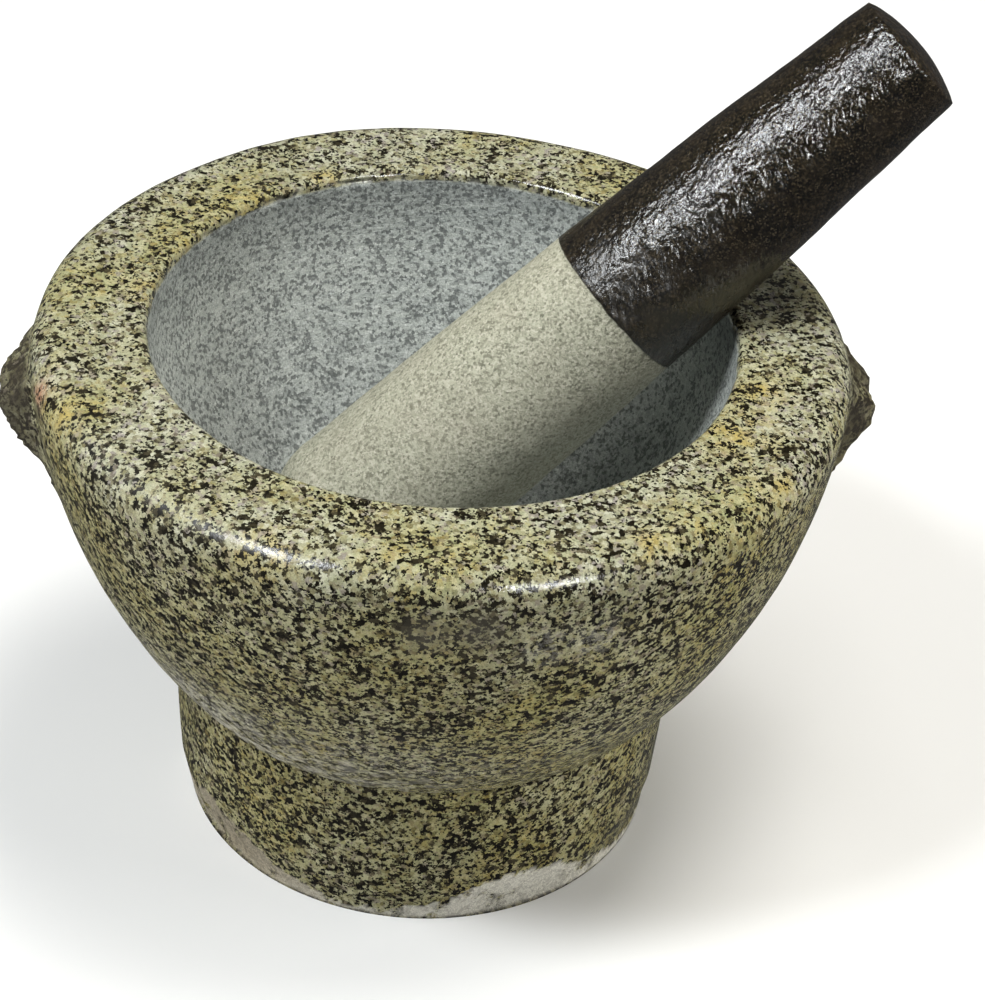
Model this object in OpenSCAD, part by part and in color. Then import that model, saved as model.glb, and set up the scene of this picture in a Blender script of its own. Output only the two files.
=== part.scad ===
// Granite mortar and pestle: a heavy pedestal mortar carved from one block, with two rough lifting
// lugs under its rim, and a loose tapering pestle that stands in the bowl and leans on the lip.
// Millimetres, +Z up. The origin is the middle of the foot's flat underside.

/* [Rim and bowl] */
// Outer diameter of the rim
rim_d = 200; // [190:1:210]
// Height of the mortar
mortar_h = 140; // [134:1:146]
// Radius of the rounded outer edge of the rim
rim_round = 8; // [4:0.5:12]
// Diameter of the mouth, across the crisp edge where the bowl starts
mouth_d = 142; // [136:1:146]
// Radius of the small polished rounding round the mouth
lip_round = 2.5; // [1.5:0.5:4]
// Depth of the bowl below the top of the rim
bowl_depth = 84; // [78:1:88]
// Radius of the bowl's floor, where the pestle grinds
floor_round = 50; // [45:1:55]
// Radius of the bowl's wall, in section
wall_hollow = 90; // [85:1:110]

/* [Outside and foot] */
// Diameter of the neck, where the bowl's outside meets the foot
neck_d = 132; // [126:1:138]
// Height of the neck above the ground
neck_h = 47; // [42:1:52]
// Radius of the bulging outer wall, in section
wall_bulge = 150; // [140:1:180]
// Width of the small ledge where the wall meets the foot
neck_step = 0.6; // [0.4:0.1:1.5]
// Height of the rough-ground band round the bottom of the foot
band_h = 12; // [8:1:16]
// Diameter of the foot at the top of the ground band
band_d = 126; // [122:1:129]
// Diameter of the flat underside that the mortar stands on
base_d = 121; // [114:1:124]

/* [Lugs] */
// How far each lug stands out past the rim
lug_out = 8; // [5:1:12]
// Width of a lug at its root
lug_root_w = 38; // [30:1:50]
// Width of a lug at its tip
lug_tip_w = 14; // [8:1:20]
// Height of the blunt face at a lug's tip
lug_tip_h = 6; // [4:1:10]
// Height of the middle of a lug's tip above the ground
lug_h = 120; // [112:1:122]

/* [Pestle] */
// Length of the pestle, end to end
pestle_len = 202; // [196:1:208]
// Diameter of the rounded grinding head
head_d = 46; // [42:1:48]
// Diameter at the top end
cap_d = 32; // [28:1:36]
// Height of the shallow dome on the top end
cap_dome = 3; // [2:0.5:5]
// How late the taper starts, where 1 is a straight cone
taper_power = 1.7; // [1.4:0.1:2]
// Angle of the leaning pestle above level
lean = 42.1; // [41.5:0.1:45]
// Direction of the lean, counted from +X towards +Y
lean_turn = 12.5; // [0:0.5:45]
// Room left between the pestle and the mortar
rest_gap = 0.3; // [0.2:0.05:0.5]

/* [Hidden] */
$fn = 128;
arc_step = 6;
rim_r = rim_d / 2;
mouth_r = mouth_d / 2;
head_r = head_d / 2;
cap_r = cap_d / 2;
cap_ball_r = (cap_r * cap_r + cap_dome * cap_dome) / (2 * cap_dome);
shaft_len = pestle_len - head_r - cap_dome;
lug_root_r = rim_r - rim_round;
lug_deep = 12;
lug_flare = rim_r + lug_out - lug_root_r;

// The point where two circles meet, on the left when looking from the first centre to the second
function meet(a, ra, b, rb) =
    let (
        d = norm(b - a),
        along = (d * d + ra * ra - rb * rb) / (2 * d),
        aside = sqrt(ra * ra - along * along),
        u = (b - a) / d
    )
    a + along * u + aside * [-u[1], u[0]];

// The angle of point p seen from centre c
function angle(c, p) = atan2(p[1] - c[1], p[0] - c[0]);

// Points along an arc, from angle a0 to angle a1
function arc(c, r, a0, a1) =
    let (n = ceil(abs(a1 - a0) / arc_step))
    [for (i = [n : -1 : 0]) let (a = a1 - (a1 - a0) * i / n) c + r * [cos(a), sin(a)]];

// Section of the outside: the wall's arc starts at the neck and runs smoothly into the rim's rounding
neck_p = [neck_d / 2, neck_h];
rim_c = [rim_r - rim_round, mortar_h - rim_round];
bulge_c = meet(neck_p, wall_bulge, rim_c, wall_bulge - rim_round);

// Section of the bowl: a round floor that runs smoothly into the steeper wall, up to the mouth
lip_c = [mouth_r + lip_round, mortar_h - lip_round];
mouth_p = [mouth_r, mortar_h - lip_round];
floor_c = [0, mortar_h - bowl_depth + floor_round];
hollow_c = meet(floor_c, wall_hollow - floor_round, mouth_p, wall_hollow);
join_a = angle(hollow_c, floor_c);

// Radius of the pestle at a distance s above the middle of its head, and how fast it changes there
function shaft_r(s) = head_r - (head_r - cap_r) * pow(s / shaft_len, taper_power);
function shaft_slope(s) = -(head_r - cap_r) * taper_power / shaft_len * pow(s / shaft_len, taper_power - 1);

// Middle of the head in the upright plane of the lean, when it rests on the bowl a degrees below level
function head_at(a) =
    a < -join_a
        ? [-hollow_c[0], hollow_c[1]] - (wall_hollow - head_r - rest_gap) * [cos(a), sin(a)]
        : floor_c - (floor_round - head_r - rest_gap) * [cos(a), sin(a)];

// Clear space between the shaft and the lip, less the gap wanted there, for the head in that place
function lip_room(a) =
    let (
        to_lip = lip_c - head_at(a),
        s = to_lip * [cos(lean), sin(lean)],
        below = to_lip * [sin(lean), -cos(lean)]
    )
    (below - shaft_r(s)) / sqrt(1 + pow(shaft_slope(s), 2)) - lip_round - rest_gap;

// Halves the span until the head is where the shaft just rests on the lip
function settle(high, low, turns) =
    let (mid = (high + low) / 2)
    turns == 0 ? mid : lip_room(mid) > 0 ? settle(mid, low, turns - 1) : settle(high, mid, turns - 1);

head_c = head_at(settle(5, 89, 30));

// Carved and polished block of granite, with its bowl
module mortar() {
    color("#A29B78")
    union() {
        rotate_extrude()
        polygon(concat(
            [[0, 0], [base_d / 2, 0], [band_d / 2, band_h], neck_p - [neck_step, 0]],
            arc(bulge_c, wall_bulge, angle(bulge_c, neck_p), angle(bulge_c, rim_c)),
            arc(rim_c, rim_round, 0, 90),
            arc(lip_c, lip_round, 90, 180),
            arc(hollow_c, wall_hollow, angle(hollow_c, mouth_p), join_a),
            arc(floor_c, floor_round, join_a, -90)
        ));
        lug();
        mirror([1, 0, 0]) lug();
    }
}

// Lifting lug left standing on the outer wall, with slopes above, below and at both sides
module lug() {
    tip_r = lug_root_r + lug_flare;
    intersection() {
        rotate([90, 0, 0])
        linear_extrude(lug_root_w, center = true)
        polygon([
            [lug_root_r - lug_deep, lug_h + lug_tip_h / 2 + lug_flare],
            [lug_root_r, lug_h + lug_tip_h / 2 + lug_flare - 1],
            [tip_r, lug_h + lug_tip_h / 2],
            [tip_r, lug_h - lug_tip_h / 2],
            [lug_root_r, lug_h - lug_tip_h / 2 - lug_flare],
            [lug_root_r - lug_deep, lug_h - lug_tip_h / 2 - lug_flare]
        ]);
        linear_extrude(mortar_h)
        polygon([
            [lug_root_r - lug_deep, -lug_root_w / 2],
            [lug_root_r, -lug_root_w / 2],
            [tip_r, -lug_tip_w / 2],
            [tip_r, lug_tip_w / 2],
            [lug_root_r, lug_root_w / 2],
            [lug_root_r - lug_deep, lug_root_w / 2]
        ]);
    }
}

// Loose pestle, turned from one piece: a round head, a long bulging taper and a shallow domed top
module pestle() {
    taper = [for (i = [0 : 20]) [shaft_r(shaft_len * i / 20), shaft_len * i / 20]];
    dome_c = [0, shaft_len + cap_dome - cap_ball_r];
    color("#5E564A")
    rotate([0, 0, lean_turn])
    translate([head_c[0], 0, head_c[1]])
    rotate([0, 90 - lean, 0])
    rotate_extrude()
    polygon(concat(
        arc([0, 0], head_r, -90, -arc_step),
        taper,
        arc(dome_c, cap_ball_r, angle(dome_c, [cap_r, shaft_len]) + 1, 90)
    ));
}

mortar();
pestle();
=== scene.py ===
import math

import bpy
import numpy as np
from mathutils import Matrix, Vector, noise


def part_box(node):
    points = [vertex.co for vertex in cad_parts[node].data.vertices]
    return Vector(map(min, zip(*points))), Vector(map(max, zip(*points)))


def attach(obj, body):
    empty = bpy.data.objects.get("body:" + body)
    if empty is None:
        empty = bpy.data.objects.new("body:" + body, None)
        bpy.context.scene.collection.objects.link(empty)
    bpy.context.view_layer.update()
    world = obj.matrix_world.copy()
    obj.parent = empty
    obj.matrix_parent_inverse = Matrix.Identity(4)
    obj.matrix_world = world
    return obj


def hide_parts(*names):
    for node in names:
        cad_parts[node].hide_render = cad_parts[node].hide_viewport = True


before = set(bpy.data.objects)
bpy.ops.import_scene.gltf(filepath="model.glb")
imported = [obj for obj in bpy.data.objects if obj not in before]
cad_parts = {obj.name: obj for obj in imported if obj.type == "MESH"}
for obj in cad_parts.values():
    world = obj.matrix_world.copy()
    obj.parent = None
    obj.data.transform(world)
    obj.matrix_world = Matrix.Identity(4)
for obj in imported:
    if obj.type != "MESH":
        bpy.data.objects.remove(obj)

scene = bpy.context.scene
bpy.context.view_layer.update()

# ---------------------------------------------------------------------------------------------
# Camera
# A long lens held by hand above the bench, looking down into the bowl and tipped a little.
# ---------------------------------------------------------------------------------------------
CAMERA_DISTANCE = 0.7922
CAMERA_ELEVATION = math.radians(36.92)
CAMERA_TURN = math.radians(-6.34)
CAMERA_TIP = math.radians(4.36)
CAMERA_AIM = Vector((0.0148, -0.0013, 0.0881))
LENS_MM = 113.45

camera = bpy.data.objects.new("camera", bpy.data.cameras.new("camera"))
scene.collection.objects.link(camera)
scene.camera = camera
camera.data.lens = LENS_MM
camera.data.clip_start = 0.05
camera.data.clip_end = 20.0
back = Vector((
    math.sin(CAMERA_TURN) * math.cos(CAMERA_ELEVATION),
    -math.cos(CAMERA_TURN) * math.cos(CAMERA_ELEVATION),
    math.sin(CAMERA_ELEVATION),
))
camera.location = CAMERA_AIM + back * CAMERA_DISTANCE
level = (-back).to_track_quat("-Z", "Y")
camera.rotation_mode = "QUATERNION"
camera.rotation_quaternion = level @ Matrix.Rotation(CAMERA_TIP, 3, "Z").to_quaternion()

# ---------------------------------------------------------------------------------------------
# Light and floor
# The polish shows a window high on the left, and a small bright lamp in front on the right that
# only makes glints. A pale ceiling and two pale walls fill in, over a plain pale bench top.
# ---------------------------------------------------------------------------------------------
FLOOR_SIZE = 6.0
FLOOR_COLOUR = (0.82, 0.82, 0.815, 1.0)
DAYLIGHT = (0.95, 0.98, 1.0)
COLD_LIGHT = (0.97, 0.99, 1.0)
WARM_LIGHT = (1.0, 0.98, 0.93)
ROOM_COLOUR = (0.95, 0.97, 1.0, 1.0)
ROOM_STRENGTH = 0.08


def soft_lamp(name, place, aim, size, watts, colour):
    """An area lamp, size wide and high, that shines from place towards aim."""
    lamp = bpy.data.objects.new(name, bpy.data.lights.new(name, "AREA"))
    lamp.data.shape = "RECTANGLE"
    lamp.data.size, lamp.data.size_y = size
    lamp.data.energy = watts
    lamp.data.color = colour
    lamp.location = place
    lamp.rotation_mode = "QUATERNION"
    lamp.rotation_quaternion = (Vector(aim) - Vector(place)).to_track_quat("-Z", "Y")
    scene.collection.objects.link(lamp)
    return lamp


soft_lamp("window", (-0.60, -0.33, 1.10), (0.09, 0.02, 0.18), (0.27, 0.27), 13.0, DAYLIGHT)
glint = soft_lamp("glint", (0.54, -1.03, 0.87), (0.02, -0.10, 0.13), (0.15, 0.28), 10.0, COLD_LIGHT)
glint.visible_diffuse = False
for name, place, size, watts in (
    ("ceiling", (0.30, 0.02, 1.35), 0.60, 16.0),
    ("left_wall", (-1.30, -0.05, 0.35), 0.90, 7.5),
    ("right_wall", (1.28, -0.12, 0.35), 0.90, 13.5),
):
    pale = soft_lamp(name, place, (0.0, 0.0, 0.09), (size, size), watts, WARM_LIGHT)
    pale.visible_glossy = False

room = bpy.data.worlds.new("room")
room.use_nodes = True
room.node_tree.nodes["Background"].inputs["Color"].default_value = ROOM_COLOUR
room.node_tree.nodes["Background"].inputs["Strength"].default_value = ROOM_STRENGTH
scene.world = room
scene.view_settings.view_transform = "Standard"

floor_mesh = bpy.data.meshes.new("floor")
half = FLOOR_SIZE / 2
floor_mesh.from_pydata(
    [(-half, -half, 0), (half, -half, 0), (half, half, 0), (-half, half, 0)], [], [(0, 1, 2, 3)]
)
floor = bpy.data.objects.new("floor", floor_mesh)
scene.collection.objects.link(floor)
bench_top = bpy.data.materials.new("bench_top")
bench_top.use_nodes = True
bench_top.node_tree.nodes["Principled BSDF"].inputs["Base Color"].default_value = FLOOR_COLOUR
bench_top.node_tree.nodes["Principled BSDF"].inputs["Roughness"].default_value = 0.7
floor_mesh.materials.append(bench_top)
floor.visible_glossy = False

# ---------------------------------------------------------------------------------------------
# Mortar
# One block of granite, turned and ground to shape: foot, neck, bulging wall, broad rim and bowl.
# The outside is polished, the bowl is honed, and two rough lugs are left standing for lifting.
# ---------------------------------------------------------------------------------------------
mortar_hi = Vector(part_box("mortar")[1])
RIM_R = mortar_hi.y
TOP_Z = mortar_hi.z
LUG_TIP_R = mortar_hi.x
RIM_ROUND = 0.008
MOUTH_R = 0.071
LIP_ROUND = 0.0025
BOWL_DEPTH = 0.084
FLOOR_ROUND = 0.050
WALL_HOLLOW = 0.090
NECK_R = 0.066
NECK_Z = 0.047
NECK_STEP = 0.0006
WALL_BULGE = 0.150
BAND_Z = 0.012
BAND_R = 0.063
BASE_R = 0.0605
LUG_ROOT_R = RIM_R - RIM_ROUND
LUG_ROOT_HALF = 0.019
LUG_TIP_HALF = 0.007
LUG_TIP_Z = (0.117, 0.123)
LUG_SWING = 0.5
LUG_MELD = 0.0030
TURN_STEPS = 464
LUG_CROWDING = 0.12
JUST = 0.0001


def circles_meet(a, ra, b, rb):
    """The point where two circles meet, on the left when looking from a to b."""
    apart = b - a
    d = np.linalg.norm(apart)
    along = (d * d + ra * ra - rb * rb) / (2 * d)
    aside = math.sqrt(ra * ra - along * along)
    u = apart / d
    return a + along * u + aside * np.array((-u[1], u[0]))


def direction(centre, point):
    """The angle at which a point is seen from a centre."""
    return math.atan2(point[1] - centre[1], point[0] - centre[0])


def arc(centre, radius, start, end, step):
    """Points along an arc, about step apart, leaving out the first."""
    count = max(2, math.ceil(abs(end - start) * radius / step))
    angles = start + (end - start) * np.arange(1, count + 1) / count
    return [centre + radius * np.array((math.cos(a), math.sin(a))) for a in angles]


def run(a, b, step):
    """Points along a straight line from a to b, about step apart, leaving out the first."""
    a, b = np.array(a), np.array(b)
    count = max(1, math.ceil(np.linalg.norm(b - a) / step))
    return [a + (b - a) * i / count for i in range(1, count + 1)]


def smooth_step(low, high, x):
    """0 at low and 1 at high, easing in and out between them."""
    t = np.clip((x - low) / (high - low), 0.0, 1.0)
    return t * t * (3 - 2 * t)


def noise_at(points, size, seed, octaves=3):
    """Smooth noise from about -1 to 1 at each point, for lumps about size across."""
    shift = Vector((seed * 7.3, seed * 3.1, seed * 5.7))
    return np.array([
        noise.fractal(Vector(p) / size + shift, 1.0, 2.0, octaves) for p in points
    ])


def turned_solid(name, section, angles):
    """A closed mesh made by turning a section of (radius, height) points about the Z axis."""
    turns = len(angles)
    points = [(0.0, 0.0, section[0][1])]
    for r, z in section[1:-1]:
        points += [(r * math.cos(a), r * math.sin(a), z) for a in angles]
    points.append((0.0, 0.0, section[-1][1]))
    faces = []
    for i in range(turns):
        j = (i + 1) % turns
        faces.append((0, 1 + j, 1 + i))
        for k in range(len(section) - 3):
            low, high = 1 + k * turns, 1 + (k + 1) * turns
            faces.append((low + i, low + j, high + j, high + i))
        last = 1 + (len(section) - 3) * turns
        faces.append((last + i, last + j, len(points) - 1))
    mesh = bpy.data.meshes.new(name)
    mesh.from_pydata(points, [], faces)
    mesh.polygons.foreach_set("use_smooth", [True] * len(faces))
    return mesh


def points_of(mesh):
    """The places of a mesh's points, one row each."""
    points = np.empty(len(mesh.vertices) * 3)
    mesh.vertices.foreach_get("co", points)
    return points.reshape(-1, 3)


def put_points(mesh, points):
    """Moves a mesh's points to new places."""
    mesh.vertices.foreach_set("co", points.ravel())
    mesh.update()


def keep_on_points(mesh, name, values):
    """Stores one number per point, for the skin and the stone's material to read."""
    mesh.attributes.new(name, "FLOAT", "POINT").data.foreach_set("value", np.asarray(values, float))


rim_c = np.array((RIM_R - RIM_ROUND, TOP_Z - RIM_ROUND))
neck_p = np.array((NECK_R, NECK_Z))
bulge_c = circles_meet(neck_p, WALL_BULGE, rim_c, WALL_BULGE - RIM_ROUND)
lip_c = np.array((MOUTH_R + LIP_ROUND, TOP_Z - LIP_ROUND))
mouth_p = np.array((MOUTH_R, TOP_Z - LIP_ROUND))
floor_c = np.array((0.0, TOP_Z - BOWL_DEPTH + FLOOR_ROUND))
hollow_c = circles_meet(floor_c, WALL_HOLLOW - FLOOR_ROUND, mouth_p, WALL_HOLLOW)
wall_join = direction(hollow_c, floor_c)
mouth_a = direction(hollow_c, mouth_p)
shoulder_a = direction(bulge_c, rim_c)

section = [np.array((0.0, 0.0))]
section += run((0.0, 0.0), (BASE_R, 0.0), 0.005)
section += run((BASE_R, 0.0), (BAND_R, BAND_Z), 0.0009)
section += run((BAND_R, BAND_Z), (NECK_R - NECK_STEP, NECK_Z), 0.0016)
section += run((NECK_R - NECK_STEP, NECK_Z), neck_p, NECK_STEP)
section += arc(bulge_c, WALL_BULGE, direction(bulge_c, neck_p), shoulder_a, 0.0015)
section += arc(rim_c, RIM_ROUND, shoulder_a, math.pi / 2, 0.0010)
wall_rings = len(section) - 1
section += run((rim_c[0], TOP_Z), (lip_c[0], TOP_Z), 0.0017)
section += arc(lip_c, LIP_ROUND, math.pi / 2, math.pi, 0.0006)
outside_rings = len(section) - 1
upper_band = 0.006 / WALL_HOLLOW
section += arc(hollow_c, WALL_HOLLOW, mouth_a, mouth_a - upper_band, 0.0008)
section += arc(hollow_c, WALL_HOLLOW, mouth_a - upper_band, wall_join, 0.0022)
section += arc(floor_c, FLOOR_ROUND, wall_join, -math.pi / 2, 0.0026)

even = np.arange(TURN_STEPS) * 2 * math.pi / TURN_STEPS
mortar_mesh = turned_solid("mortar_turned", section, even - LUG_CROWDING * np.sin(2 * even))
points = points_of(mortar_mesh)
radius = np.hypot(points[:, 0], points[:, 1])
turn = np.arctan2(points[:, 1], points[:, 0])
height = points[:, 2].copy()
number = np.arange(len(points))
in_bowl = number > outside_rings * TURN_STEPS
standing = height > JUST
on_foot = ~in_bowl & standing & (height <= NECK_Z + JUST)
on_wall = (number <= wall_rings * TURN_STEPS) & (height > NECK_Z) & (height < TOP_Z - 0.001)

# Lugs: four slopes round a blunt tip, hewn rough, each a little different
swing = np.arctan2(np.sin(turn), np.abs(np.cos(turn)))
side_fall = (LUG_ROOT_HALF - LUG_TIP_HALF) / (LUG_TIP_R - LUG_ROOT_R)
lug_top = LUG_TIP_R - (height - LUG_TIP_Z[1])
lug_foot = LUG_TIP_R - (LUG_TIP_Z[0] - height)
lug_face = np.minimum(np.minimum(lug_top, lug_foot), LUG_TIP_R) / np.cos(swing)
lug_side = LUG_TIP_HALF + LUG_TIP_R * side_fall
lug_side = lug_side / (np.abs(np.sin(swing)) + side_fall * np.cos(swing))
hewn = np.abs(noise_at(points, 0.010, 3, 4)) * 0.0026
hewn = hewn + np.abs(noise_at(points, 0.0032, 4, 2)) * 0.0007
near_lug = on_wall & (np.abs(swing) < LUG_SWING)
lug_rise = np.where(near_lug, np.minimum(lug_face, lug_side) - hewn - radius, -1.0)
melded = np.clip(lug_rise + LUG_MELD, 0.0, None) ** 2 / (4 * LUG_MELD)
lift = np.where(lug_rise > LUG_MELD, lug_rise, melded)
on_a_lug = smooth_step(-0.0020, 0.0012, lug_rise + 0.0008 * noise_at(points, 0.004, 5, 3))


def near_turn(side, spread):
    """1 at a direction round the mortar, counted in degrees from +X, fading to 0 away from it."""
    off = np.degrees(np.angle(np.exp(1j * (turn - math.radians(side)))))
    return np.exp(-((off / spread) ** 2))


def patches(places):
    """1 at each place given as turn in degrees, radius, height and spread, fading to 0 around it."""
    found = np.zeros(len(points))
    for side, out, up, spread in places:
        a = math.radians(side)
        apart = points - (out * math.cos(a), out * math.sin(a), up)
        found = np.maximum(found, np.exp(-(apart ** 2).sum(axis=1) / spread ** 2))
    return found


# Band ground round the bottom of the foot, tall on four sides and nearly gone between them
ring = np.stack((np.cos(turn), np.sin(turn), np.zeros_like(turn)), axis=1)
worn_sides = np.maximum.reduce([near_turn(side, 22) for side in (-150, -68, 35, 118)])
band_top = BAND_Z * (0.10 + 1.05 * worn_sides) + 0.0015 * noise_at(ring, 0.06, 7, 3)
foot_r = BAND_R + (NECK_R - NECK_STEP - BAND_R) * (height - BAND_Z) / (NECK_Z - BAND_Z)
ground_r = foot_r - np.maximum(0.0, band_top - height) * (BAND_R - BASE_R) / BAND_Z
is_ground = on_foot & (height < band_top)

new_radius = np.where(on_foot, np.minimum(radius, ground_r), radius) + lift
points[:, 0] = new_radius * np.cos(turn)
points[:, 1] = new_radius * np.sin(turn)
put_points(mortar_mesh, points)
near_edge = ((radius - MOUTH_R) / 0.0007) ** 2 + ((height - mouth_p[1] - 0.0003) / 0.0008) ** 2
near_edge = np.exp(-near_edge)
near_foot_edge = 0.7 * np.exp(-(((height - 0.0005) / 0.0012) ** 2))
near_foot_edge = near_foot_edge * np.where(standing & ~in_bowl, 1.0, 0.0)
from_mouth = smooth_step(lip_c[0], lip_c[0] + 0.008, radius)
room_here = np.where(on_foot | on_wall, 1.0, 0.45 + 0.55 * from_mouth)
keep_on_points(mortar_mesh, "room", smooth_step(0.0, 0.004, height) * room_here)
keep_on_points(mortar_mesh, "edge", np.maximum(near_edge, near_foot_edge))
keep_on_points(mortar_mesh, "bowl", np.where(in_bowl, 1.0, 0.0))
keep_on_points(mortar_mesh, "ground", np.where(is_ground, 1.0, 0.0))
keep_on_points(mortar_mesh, "hewn", on_a_lug)
low = smooth_step(0.092, 0.052, height) * np.where(on_wall, 1.0, 0.0)
keep_on_points(mortar_mesh, "worn", low * (0.10 + 0.90 * near_turn(-148, 42)))
# Pale patch below the front rim, right of centre: a scuff, and also a painted reflection of a shallow
# hollow there
keep_on_points(mortar_mesh, "scuff_and_reflection", patches([
    (-79, 0.0965, 0.120, 0.006),
    (-72, 0.0965, 0.119, 0.006),
]))
# Dark patch just below the front rim: a dull rubbed patch, and also painted shade of a shallow hollow
# there
keep_on_points(mortar_mesh, "rub_and_shade", patches([
    (-95, 0.097, 0.124, 0.006),
    (-88, 0.098, 0.125, 0.006),
]))
keep_on_points(mortar_mesh, "blush", patches([(-166, 0.098, 0.134, 0.0035)]))
keep_on_points(mortar_mesh, "rust", patches([
    (-33, 0.080, 0.140, 0.009),
    (-40, 0.096, 0.137, 0.006),
    (-20, 0.079, 0.140, 0.006),
    (150, 0.073, 0.140, 0.005),
    (131, 0.073, 0.140, 0.006),
    (112, 0.073, 0.140, 0.004),
    (170, 0.073, 0.140, 0.005),
    (-117, 0.097, 0.136, 0.007),
    (-158, 0.096, 0.137, 0.006),
    (-64, 0.094, 0.138, 0.005),
]))
keep_on_points(mortar_mesh, "dull", near_turn(-146, 26))
# The ground band is made darker and browner towards the left
keep_on_points(mortar_mesh, "darker_left", near_turn(-145, 45))


def add(tree, kind, inputs=None, **settings):
    """Adds a node. Each of its inputs is set to a value, or linked where it is given a socket."""
    made = tree.nodes.new(kind)
    for name, value in settings.items():
        setattr(made, name, value)
    for name, value in (inputs or {}).items():
        if isinstance(value, bpy.types.NodeSocket):
            tree.links.new(value, made.inputs[name])
        else:
            made.inputs[name].default_value = value
    return made


def maths(tree, operation, *values):
    """One step of arithmetic on numbers."""
    return add(tree, "ShaderNodeMath", dict(enumerate(values)), operation=operation).outputs[0]


def fit_range(tree, value, low, high, to_low=0.0, to_high=1.0):
    """Maps a value from one range to another, held at the ends."""
    return add(tree, "ShaderNodeMapRange", {
        "Value": value, "From Min": low, "From Max": high, "To Min": to_low, "To Max": to_high,
    }).outputs["Result"]


def blended(tree, share, a, b, mode="MIX"):
    """A mix of two colours, with share of the second."""
    made = add(tree, "ShaderNodeMix", {0: share, 6: a, 7: b}, data_type="RGBA", blend_type=mode)
    return made.outputs[2]


def ramp(tree, value, stops):
    """A colour ramp with the given (place, colour) stops."""
    made = add(tree, "ShaderNodeValToRGB", {"Fac": value})
    while len(made.color_ramp.elements) < len(stops):
        made.color_ramp.elements.new(0.5)
    for element, (place, colour) in zip(made.color_ramp.elements, stops):
        element.position = place
        element.color = (*colour, 1.0)
    return made.outputs["Color"]


def vector_maths(tree, operation, *values):
    """One step of arithmetic on vectors."""
    made = add(tree, "ShaderNodeVectorMath", dict(enumerate(values)), operation=operation)
    return made.outputs["Value" if operation == "DOT_PRODUCT" else "Vector"]


def stretched(tree, vector, amount):
    """A vector made longer by an amount."""
    made = add(tree, "ShaderNodeVectorMath", {0: vector, "Scale": amount}, operation="SCALE")
    return made.outputs["Vector"]


def either(tree, share, a, b):
    """A mix of two numbers, with share of the second."""
    return add(tree, "ShaderNodeMix", {0: share, 2: a, 3: b}, data_type="FLOAT").outputs[0]


def cloud(tree, place, scale, detail=3.0, rough=0.55, out="Fac"):
    """Cloudy noise from 0 to 1, with scale lumps to the metre."""
    return add(tree, "ShaderNodeTexNoise", {
        "Vector": place, "Scale": scale, "Detail": detail, "Roughness": rough,
    }).outputs[out]


def crystals(tree, place, per_metre, jag):
    """Splits the stone into jagged crystals, and gives each three random numbers."""
    shake = cloud(tree, place, per_metre * 1.7, 2.0, 0.6, "Color")
    centred = vector_maths(tree, "SUBTRACT", shake, (0.5, 0.5, 0.5))
    moved = vector_maths(tree, "ADD", place, stretched(tree, centred, jag))
    cells = add(tree, "ShaderNodeTexVoronoi", {"Vector": moved, "Scale": per_metre})
    apart = add(tree, "ShaderNodeSeparateColor", {"Color": cells.outputs["Color"]})
    return apart.outputs[0], apart.outputs[1], apart.outputs[2]


def point_value(tree, name):
    """A number kept on the mesh's points."""
    return add(tree, "ShaderNodeAttribute", attribute_name=name).outputs["Fac"]


# Skin of hand-worked stone: slow waves and fine ripples, always into the stone, and chipped edges
skin = bpy.data.node_groups.new("stone_skin", "GeometryNodeTree")
for label, kind in (
    ("Stone", "Geometry"), ("Wave depth", "Float"), ("Wave size", "Float"), ("Ripple depth", "Float"),
    ("Ripple size", "Float"), ("Chip depth", "Float"), ("Chip size", "Float"), ("Seed", "Float"),
    ("Material", "Material"),
):
    skin.interface.new_socket(name=label, in_out="INPUT", socket_type="NodeSocket" + kind)
skin.interface.new_socket(name="Stone", in_out="OUTPUT", socket_type="NodeSocketGeometry")
given = add(skin, "NodeGroupInput").outputs


def lumps(size, detail, low, high):
    """Noise with lumps of the given size, stretched so that low becomes 0 and high becomes 1."""
    per_metre = maths(skin, "DIVIDE", 1.0, size)
    made = add(skin, "ShaderNodeTexNoise", {
        "W": given["Seed"], "Scale": per_metre, "Detail": detail,
    }, noise_dimensions="4D")
    return fit_range(skin, made.outputs[0], low, high)


room_to_sink = add(skin, "GeometryNodeInputNamedAttribute", {"Name": "room"}, data_type="FLOAT").outputs[0]
edge_here = add(skin, "GeometryNodeInputNamedAttribute", {"Name": "edge"}, data_type="FLOAT").outputs[0]
waves = maths(skin, "MULTIPLY", lumps(given["Wave size"], 1.0, 0.30, 0.70), given["Wave depth"])
ripples = maths(skin, "MULTIPLY", lumps(given["Ripple size"], 2.0, 0.30, 0.70), given["Ripple depth"])
chipped = maths(skin, "MULTIPLY", lumps(given["Chip size"], 1.0, 0.50, 0.68), edge_here)
sunk = maths(skin, "MULTIPLY", maths(skin, "ADD", waves, ripples), room_to_sink)
sunk = maths(skin, "ADD", sunk, maths(skin, "MULTIPLY", chipped, given["Chip depth"]))
inward = maths(skin, "MULTIPLY", sunk, -1.0)
normal = add(skin, "GeometryNodeInputNormal").outputs[0]
shift = stretched(skin, normal, inward)
marked = add(skin, "GeometryNodeStoreNamedAttribute", {
    "Geometry": given["Stone"], "Name": "chip", "Value": chipped,
}, data_type="FLOAT", domain="POINT").outputs[0]
sunken = add(skin, "GeometryNodeSetPosition", {"Geometry": marked, "Offset": shift}).outputs[0]
whole = add(skin, "GeometryNodeRealizeInstances", {"Geometry": sunken}).outputs[0]
stone = add(skin, "GeometryNodeSetMaterial", {"Geometry": whole, "Material": given["Material"]}).outputs[0]
add(skin, "NodeGroupOutput", {"Stone": stone})


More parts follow.
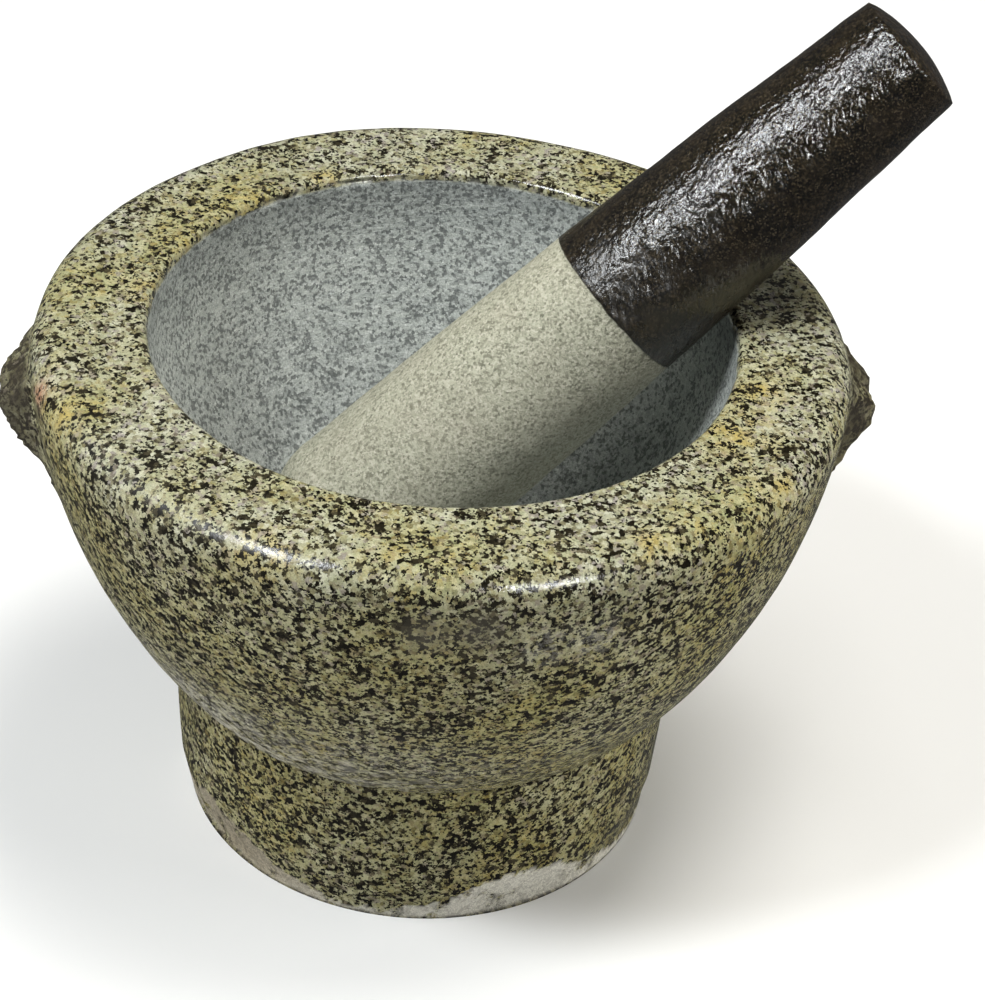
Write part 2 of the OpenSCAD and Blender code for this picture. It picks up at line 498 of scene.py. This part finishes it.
def skinned(name, mesh, sizes):
    """Runs the stone skin over a mesh and returns the result as an object with a plain mesh."""
    rough = bpy.data.objects.new(name + "_rough", mesh)
    modifier = rough.modifiers.new("stone_skin", "NODES")
    modifier.node_group = skin
    for socket in skin.interface.items_tree:
        if socket.in_out == "INPUT" and socket.name in sizes:
            modifier[socket.identifier] = sizes[socket.name]
    scene.collection.objects.link(rough)
    finished = rough.evaluated_get(bpy.context.evaluated_depsgraph_get())
    plain = bpy.data.meshes.new_from_object(finished)
    plain.name = name
    bpy.data.objects.remove(rough)
    bpy.data.meshes.remove(mesh)
    made = bpy.data.objects.new(name, plain)
    scene.collection.objects.link(made)
    return made


granite = bpy.data.materials.new("granite")
granite.use_nodes = True
tree = granite.node_tree
shader = tree.nodes["Principled BSDF"]
place = add(tree, "ShaderNodeTexCoord").outputs["Object"]
in_the_bowl = point_value(tree, "bowl")
on_the_band = point_value(tree, "ground")
on_the_lug = point_value(tree, "hewn")
low_wall = point_value(tree, "worn")
at_a_chip = point_value(tree, "chip")

# Crystals: black mica in jagged clusters, cream and olive feldspar, a little lilac-grey quartz
kind, tint, depth = crystals(tree, place, 880.0, 0.0017)
fine_kind, fine_tint, fine_depth = crystals(tree, place, 1900.0, 0.0008)
clump = cloud(tree, place, 210.0, 2.0, 0.5)
level_here = add(tree, "ShaderNodeSeparateXYZ", {0: place}).outputs[2]
outside = fit_range(tree, level_here, 0.137, 0.126)
outside = maths(tree, "MULTIPLY", outside, fit_range(tree, in_the_bowl, 1.0, 0.0))
clump = maths(tree, "ADD", clump, maths(tree, "MULTIPLY", outside, 0.095))
big_share = fit_range(tree, clump, 0.32, 0.68, 0.05, 0.46)
black_big = fit_range(tree, maths(tree, "SUBTRACT", big_share, kind), -0.03, 0.03)
fine_share = fit_range(tree, clump, 0.35, 0.70, 0.08, 0.28)
black_fine = fit_range(tree, maths(tree, "SUBTRACT", fine_share, fine_kind), -0.03, 0.03)
black = maths(tree, "MAXIMUM", black_big, black_fine)
drift = cloud(tree, place, 34.0, 3.0, 0.6)
cream = ramp(tree, tint, [
    (0.00, (0.290, 0.292, 0.200)),
    (0.25, (0.385, 0.382, 0.290)),
    (0.45, (0.270, 0.280, 0.185)),
    (0.62, (0.330, 0.320, 0.225)),
    (0.80, (0.250, 0.245, 0.140)),
    (0.88, (0.200, 0.180, 0.155)),
    (1.00, (0.260, 0.240, 0.210)),
])
olive = ramp(tree, tint, [
    (0.00, (0.270, 0.268, 0.150)),
    (0.30, (0.340, 0.315, 0.170)),
    (0.55, (0.240, 0.245, 0.125)),
    (0.85, (0.290, 0.245, 0.100)),
    (1.00, (0.200, 0.185, 0.135)),
])
feldspar = blended(tree, fit_range(tree, drift, 0.40, 0.62), cream, olive)
dusky = ramp(tree, depth, [
    (0.00, (1.15, 1.15, 1.15)),
    (0.70, (1.0, 1.0, 1.0)),
    (0.85, (0.75, 0.73, 0.66)),
    (1.00, (0.50, 0.46, 0.38)),
])
feldspar = blended(tree, 1.0, feldspar, dusky, "MULTIPLY")
feldspar = blended(tree, outside, feldspar, (1.0, 0.96, 0.80, 1.0), "MULTIPLY")
rust = maths(tree, "MULTIPLY", fit_range(tree, cloud(tree, place, 46.0, 4.0, 0.65), 0.60, 0.70), 0.35)
broken = fit_range(tree, cloud(tree, place, 240.0, 3.0, 0.6), 0.35, 0.60)
rust_patch = maths(tree, "MULTIPLY", point_value(tree, "rust"), broken)
rust = maths(tree, "MAXIMUM", rust, maths(tree, "MULTIPLY", rust_patch, 0.85))
feldspar = blended(tree, rust, feldspar, (0.370, 0.290, 0.090, 1.0))
blush = maths(tree, "MULTIPLY", point_value(tree, "blush"), 0.8)
feldspar = blended(tree, blush, feldspar, (0.420, 0.170, 0.110, 1.0))
mica = ramp(tree, depth, [
    (0.0, (0.004, 0.003, 0.001)),
    (0.60, (0.011, 0.009, 0.004)),
    (1.0, (0.045, 0.038, 0.020)),
])
speck = cloud(tree, place, 3000.0, 2.0, 0.6)
mottle = ramp(tree, speck, [(0.25, (0.62, 0.62, 0.62)), (0.75, (1.30, 1.30, 1.30))])
polished = blended(tree, 1.0, blended(tree, black, feldspar, mica), mottle, "MULTIPLY")
# Painted shade and a rubbed patch: dark brown below the front rim, where a shallow hollow lies in shadow
rub_and_shade = maths(tree, "MULTIPLY", point_value(tree, "rub_and_shade"), 0.55)
polished = blended(tree, rub_and_shade, polished, (0.115, 0.100, 0.065, 1.0))

# Honed bowl: the same crystals dulled to blue-grey by grinding
honed_pale = ramp(tree, fine_tint, [
    (0.0, (0.385, 0.415, 0.385)),
    (0.6, (0.490, 0.520, 0.488)),
    (1.0, (0.575, 0.600, 0.575)),
])
honed_dark = ramp(tree, fine_depth, [(0.0, (0.060, 0.068, 0.066)), (1.0, (0.170, 0.180, 0.174))])
bowl_kind = crystals(tree, place, 1250.0, 0.0012)[0]
fleck_share = fit_range(tree, clump, 0.30, 0.70, 0.14, 0.46)
bowl_flecks = fit_range(tree, maths(tree, "SUBTRACT", fleck_share, bowl_kind), -0.04, 0.04)
bowl_flecks = maths(tree, "MAXIMUM", bowl_flecks, maths(tree, "MULTIPLY", black_big, 0.30))
honed = blended(tree, maths(tree, "MULTIPLY", bowl_flecks, 0.80), honed_pale, honed_dark)
turning = add(tree, "ShaderNodeMapping", {"Vector": place, "Scale": (1.0, 1.0, 7.0)}).outputs[0]
marks = cloud(tree, turning, 150.0, 4.0, 0.65)
marks = ramp(tree, marks, [(0.30, (0.80, 0.81, 0.82)), (0.70, (1.16, 1.15, 1.14))])
honed = blended(tree, 1.0, honed, marks, "MULTIPLY")
honed = blended(tree, 1.0, honed, mottle, "MULTIPLY")
# Painted shade: the honed colour darkens towards the bottom of the bowl, where it lies in shadow
painted_bowl_shade = fit_range(tree, level_here, 0.120, 0.085)
honed = blended(tree, painted_bowl_shade, honed, (0.72, 0.72, 0.72, 1.0), "MULTIPLY")
high = fit_range(tree, level_here, 0.118, 0.136)
honed = blended(tree, high, honed, (0.70, 0.71, 0.72, 1.0), "MULTIPLY")

# Ground band, scuffs and chips: pale bruised stone, the pale patch below the front rim being also a
# painted reflection of a shallow hollow. Lugs: dark weathered stone
bruised_dark = (0.200, 0.185, 0.150, 1.0)
bruised = maths(tree, "MULTIPLY", black, 0.35)
bruised = blended(tree, bruised, (0.660, 0.640, 0.560, 1.0), bruised_dark)
bruised = blended(tree, 1.0, bruised, mottle, "MULTIPLY")
# The worn band, darker and browner towards the left
darker_left = blended(tree, point_value(tree, "darker_left"), bruised, (0.46, 0.41, 0.33, 1.0), "MULTIPLY")
grime = fit_range(tree, cloud(tree, place, 130.0, 3.0, 0.6), 0.35, 0.60, 0.50, 0.90)
weathered = blended(tree, grime, polished, (0.026, 0.020, 0.011, 1.0))
scratch = fit_range(tree, cloud(tree, place, 330.0, 5.0, 0.75), 0.44, 0.56)
# Painted reflection and scuff: the pale patch below the front rim, joined with the real scuffs low on the
# wall
front_scuff_and_reflection = maths(tree, "MULTIPLY", point_value(tree, "scuff_and_reflection"), 0.4)
scuffs_and_reflection = maths(tree, "MULTIPLY", maths(tree, "MAXIMUM", low_wall, front_scuff_and_reflection), scratch)
band_wear = fit_range(tree, cloud(tree, place, 120.0, 5.0, 0.7), 0.36, 0.46)
band_wear = maths(tree, "MULTIPLY", on_the_band, band_wear)
colour = blended(tree, maths(tree, "MULTIPLY", scuffs_and_reflection, 0.80), polished, bruised)
colour = blended(tree, band_wear, colour, darker_left)
colour = blended(tree, on_the_lug, colour, weathered)
colour = blended(tree, in_the_bowl, colour, honed)
chip_paleness = maths(tree, "MULTIPLY", at_a_chip, 0.45)
colour = blended(tree, chip_paleness, colour, (0.400, 0.400, 0.340, 1.0))
tree.links.new(colour, shader.inputs["Base Color"])

# Gloss: bright polish with dull smears outside, no gloss where the stone is honed, ground or hewn
smear = cloud(tree, place, 60.0, 4.0, 0.65)
gloss = fit_range(tree, smear, 0.35, 0.68, 0.08, 0.28)
matt = maths(tree, "MAXIMUM", band_wear, on_the_lug)
matt = maths(tree, "MAXIMUM", matt, maths(tree, "MAXIMUM", in_the_bowl, scuffs_and_reflection))
half_matt = maths(tree, "MULTIPLY", low_wall, 0.5)
half_matt = maths(tree, "MAXIMUM", half_matt, maths(tree, "MULTIPLY", point_value(tree, "dull"), 0.55))
half_matt = maths(tree, "MAXIMUM", half_matt, rub_and_shade)
rough = either(tree, maths(tree, "MAXIMUM", matt, half_matt), gloss, 0.75)
tree.links.new(rough, shader.inputs["Roughness"])
pits = maths(tree, "MULTIPLY", black, -0.000030)
pits = maths(tree, "ADD", pits, maths(tree, "MULTIPLY", speck, 0.000025))
wavy = maths(tree, "MULTIPLY", cloud(tree, place, 480.0, 4.0, 0.62), 0.00013)
tooth = maths(tree, "MULTIPLY", cloud(tree, place, 1100.0, 3.0, 0.7), 0.00038)
relief = either(tree, matt, maths(tree, "ADD", pits, wavy), tooth)
bump = add(tree, "ShaderNodeBump", {"Height": relief, "Strength": 1.0, "Distance": 1.0})
tree.links.new(bump.outputs["Normal"], shader.inputs["Normal"])

mortar = skinned("mortar_stone", mortar_mesh, {
    "Wave depth": 0.0009, "Wave size": 0.055, "Ripple depth": 0.00012, "Ripple size": 0.007,
    "Chip depth": 0.0007, "Chip size": 0.0035, "Seed": 3.0, "Material": granite,
})
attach(mortar, "mortar")
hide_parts("mortar")

# ---------------------------------------------------------------------------------------------
# Pestle
# One loose tapering stone, turned round. Its lower half is honed pale for grinding and its upper
# half is polished dark for the hand, with a sharp line between them. It leans on the rim.
# ---------------------------------------------------------------------------------------------
PESTLE_LEN = 0.202
HEAD_R = 0.023
CAP_R = 0.016
CAP_DOME = 0.003
TAPER_POWER = 1.7
LEAN = math.radians(42.1)
LEAN_TURN = math.radians(12.5)
HONED_LEN = 0.0826
HONED_CUT = 0.00012
LINE_BLUR = 0.00012
PESTLE_STEPS = 288
shaft_len = PESTLE_LEN - HEAD_R - CAP_DOME
pestle_lo = Vector(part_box("pestle")[0])
axis = Vector((
    math.cos(LEAN) * math.cos(LEAN_TURN), math.cos(LEAN) * math.sin(LEAN_TURN), math.sin(LEAN)
))
head = Vector((pestle_lo.x + HEAD_R, 0.0, pestle_lo.z + HEAD_R))
head.y = head.x * math.tan(LEAN_TURN)


def shaft_radius(s):
    """Radius of the pestle at a distance s above the middle of its head."""
    return HEAD_R - (HEAD_R - CAP_R) * (max(s, 0.0) / shaft_len) ** TAPER_POWER


cap_ball_r = (CAP_R * CAP_R + CAP_DOME * CAP_DOME) / (2 * CAP_DOME)
cap_c = np.array((0.0, shaft_len + CAP_DOME - cap_ball_r))
profile = [np.array((0.0, -HEAD_R))]
profile += arc(np.array((0.0, 0.0)), HEAD_R, -math.pi / 2, 0.0, 0.0011)
below_line = np.arange(0.0012, HONED_LEN - 0.0004, 0.0012)
above_line = np.arange(HONED_LEN + 0.0001, shaft_len - 0.0012, 0.0010)
profile += [np.array((shaft_radius(s) - HONED_CUT, s)) for s in below_line]
profile += [np.array((shaft_radius(HONED_LEN) - HONED_CUT, HONED_LEN - JUST))]
profile += [np.array((shaft_radius(s), s)) for s in above_line]
profile += [
    np.array((shaft_radius(shaft_len - 0.0007), shaft_len - 0.0007)),
    np.array((CAP_R - 0.00012, shaft_len - 0.00015)),
    np.array((CAP_R - 0.00045, shaft_len + 0.00003)),
]
cap_a = direction(cap_c, (CAP_R - 0.0008, shaft_len + JUST))
profile += arc(cap_c, cap_ball_r, cap_a, math.pi / 2, 0.0012)

around = np.arange(PESTLE_STEPS) * 2 * math.pi / PESTLE_STEPS
pestle_mesh = turned_solid("pestle_turned", profile, around)
keep_on_points(pestle_mesh, "room", np.ones(len(pestle_mesh.vertices)))
cap_edge = np.exp(-(((points_of(pestle_mesh)[:, 2] - shaft_len) / 0.0006) ** 2))
keep_on_points(pestle_mesh, "edge", cap_edge)
pestle_mesh.transform(Matrix.Translation(head) @ axis.to_track_quat("Z", "Y").to_matrix().to_4x4())
pestle_mesh.update()

pestle_stone = bpy.data.materials.new("pestle_stone")
pestle_stone.use_nodes = True
tree = pestle_stone.node_tree
shader = tree.nodes["Principled BSDF"]
place = add(tree, "ShaderNodeTexCoord").outputs["Object"]
from_head = vector_maths(tree, "SUBTRACT", place, tuple(head))
along = vector_maths(tree, "DOT_PRODUCT", from_head, tuple(axis))
wander = maths(tree, "SUBTRACT", cloud(tree, place, 300.0, 3.0), 0.5)
wander = maths(tree, "ADD", along, maths(tree, "MULTIPLY", wander, 0.0008))
polish = fit_range(tree, wander, HONED_LEN - LINE_BLUR, HONED_LEN + LINE_BLUR)
kind, tint, depth = crystals(tree, place, 1700.0, 0.0008)
fine_kind = crystals(tree, place, 3000.0, 0.0004)[0]
drift = cloud(tree, place, 55.0, 3.0, 0.6)

# Honed half: fine pale greenish grey with small darker grains
honed_pale = ramp(tree, tint, [
    (0.0, (0.270, 0.275, 0.200)),
    (0.5, (0.350, 0.350, 0.265)),
    (1.0, (0.440, 0.425, 0.340)),
])
honed_dark = ramp(tree, depth, [(0.0, (0.105, 0.105, 0.070)), (1.0, (0.220, 0.220, 0.160))])
honed = blended(tree, fit_range(tree, kind, 0.26, 0.22), honed_pale, honed_dark)
fine_grains = maths(tree, "MULTIPLY", fit_range(tree, fine_kind, 0.22, 0.18), 0.7)
honed = blended(tree, fine_grains, honed, honed_dark)
warmth = fit_range(tree, drift, 0.35, 0.75, 0.0, 0.35)
honed = blended(tree, warmth, honed, (0.300, 0.270, 0.205, 1.0))

# Polished half: nearly black brown with a fine paler peppering
dark = ramp(tree, tint, [
    (0.0, (0.002, 0.001, 0.001)),
    (0.50, (0.005, 0.004, 0.002)),
    (0.80, (0.013, 0.010, 0.005)),
    (1.0, (0.034, 0.026, 0.016)),
])
pepper = fit_range(tree, drift, 0.30, 0.65, 0.10, 0.55)
pepper = maths(tree, "MULTIPLY", fit_range(tree, fine_kind, 0.14, 0.08), pepper)
dark = blended(tree, pepper, dark, (0.090, 0.072, 0.046, 1.0))
brown = fit_range(tree, cloud(tree, place, 140.0, 4.0, 0.6), 0.45, 0.70, 0.0, 0.40)
dark = blended(tree, brown, dark, (0.030, 0.021, 0.011, 1.0))
tree.links.new(blended(tree, polish, honed, dark), shader.inputs["Base Color"])
shader.inputs["Specular IOR Level"].default_value = 0.80

# The polish follows a crinkled surface, with its ripples stretched along the shaft
turned_back = axis.to_track_quat("Z", "Y").inverted().to_euler()
lengthways = add(tree, "ShaderNodeMapping", {
    "Vector": from_head, "Rotation": tuple(turned_back), "Scale": (1.0, 1.0, 0.28),
}).outputs[0]
crinkle = cloud(tree, lengthways, 600.0, 4.0, 0.60)
folds = maths(tree, "SUBTRACT", cloud(tree, lengthways, 330.0, 2.0, 0.5), 0.5)
folds = maths(tree, "ABSOLUTE", folds)
ripple = maths(tree, "MULTIPLY", crinkle, 0.00046)
ripple = maths(tree, "ADD", ripple, maths(tree, "MULTIPLY", folds, 0.00085))
tooth = maths(tree, "MULTIPLY", cloud(tree, place, 1500.0, 3.0, 0.65), 0.00022)
rise = either(tree, polish, tooth, ripple)
sheen = fit_range(tree, cloud(tree, place, 130.0, 3.0, 0.6), 0.35, 0.65, 0.08, 0.22)
near_line = fit_range(tree, along, HONED_LEN + 0.045, HONED_LEN, 0.0, 0.16)
rough = either(tree, polish, 0.82, maths(tree, "ADD", sheen, near_line))
tree.links.new(rough, shader.inputs["Roughness"])
bump = add(tree, "ShaderNodeBump", {"Height": rise, "Strength": 1.0, "Distance": 1.0})
tree.links.new(bump.outputs["Normal"], shader.inputs["Normal"])

pestle = skinned("pestle_stone", pestle_mesh, {
    "Wave depth": 0.00035, "Wave size": 0.020, "Ripple depth": 0.00012, "Ripple size": 0.004,
    "Chip depth": 0.0003, "Chip size": 0.0025, "Seed": 11.0, "Material": pestle_stone,
})
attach(pestle, "pestle")
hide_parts("pestle")
